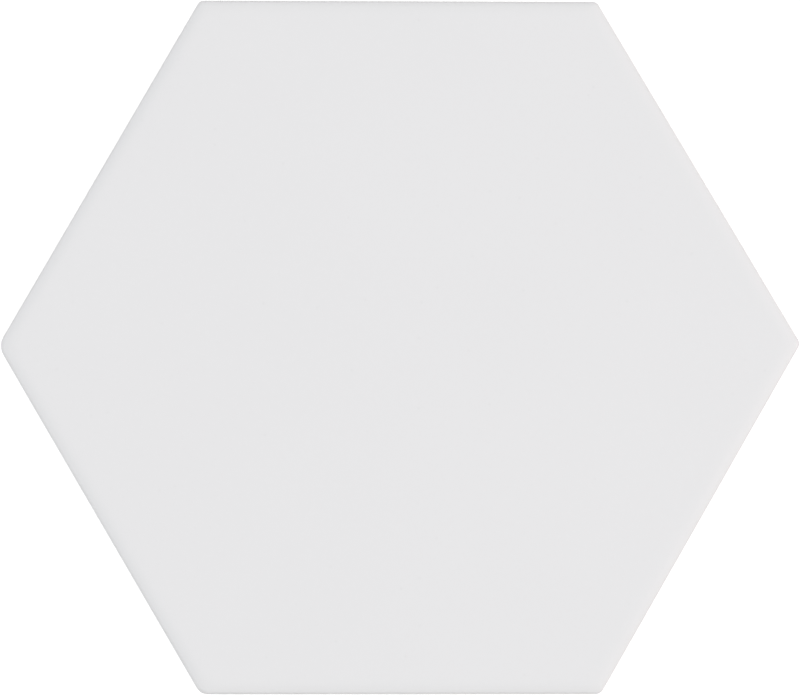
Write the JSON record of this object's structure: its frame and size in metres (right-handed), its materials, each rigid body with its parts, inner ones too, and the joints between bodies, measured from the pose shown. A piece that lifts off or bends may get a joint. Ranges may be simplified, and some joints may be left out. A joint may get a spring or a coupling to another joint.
{
  "type": "hexagonal porcelain tile",
  "caption": "Flat hexagonal porcelain tile with a plain matt white face, softly pillowed edges and a honeycomb-keyed back, for bedding on walls and floors.",
  "frame": {"origin": "centre of the back's bedding plane, straight below the centre of the face", "axes": "+Z out of the face, +X towards one of the corners, +Y across the flats towards the side that is at the top of the picture"},
  "size_m": [0.1162, 0.101, 0.009],
  "materials": {
    "porcelain": "matte"
  },
  "bodies": {
    "root": {"hexagonal_tile": "porcelain"}
  },
  "joints": []
}
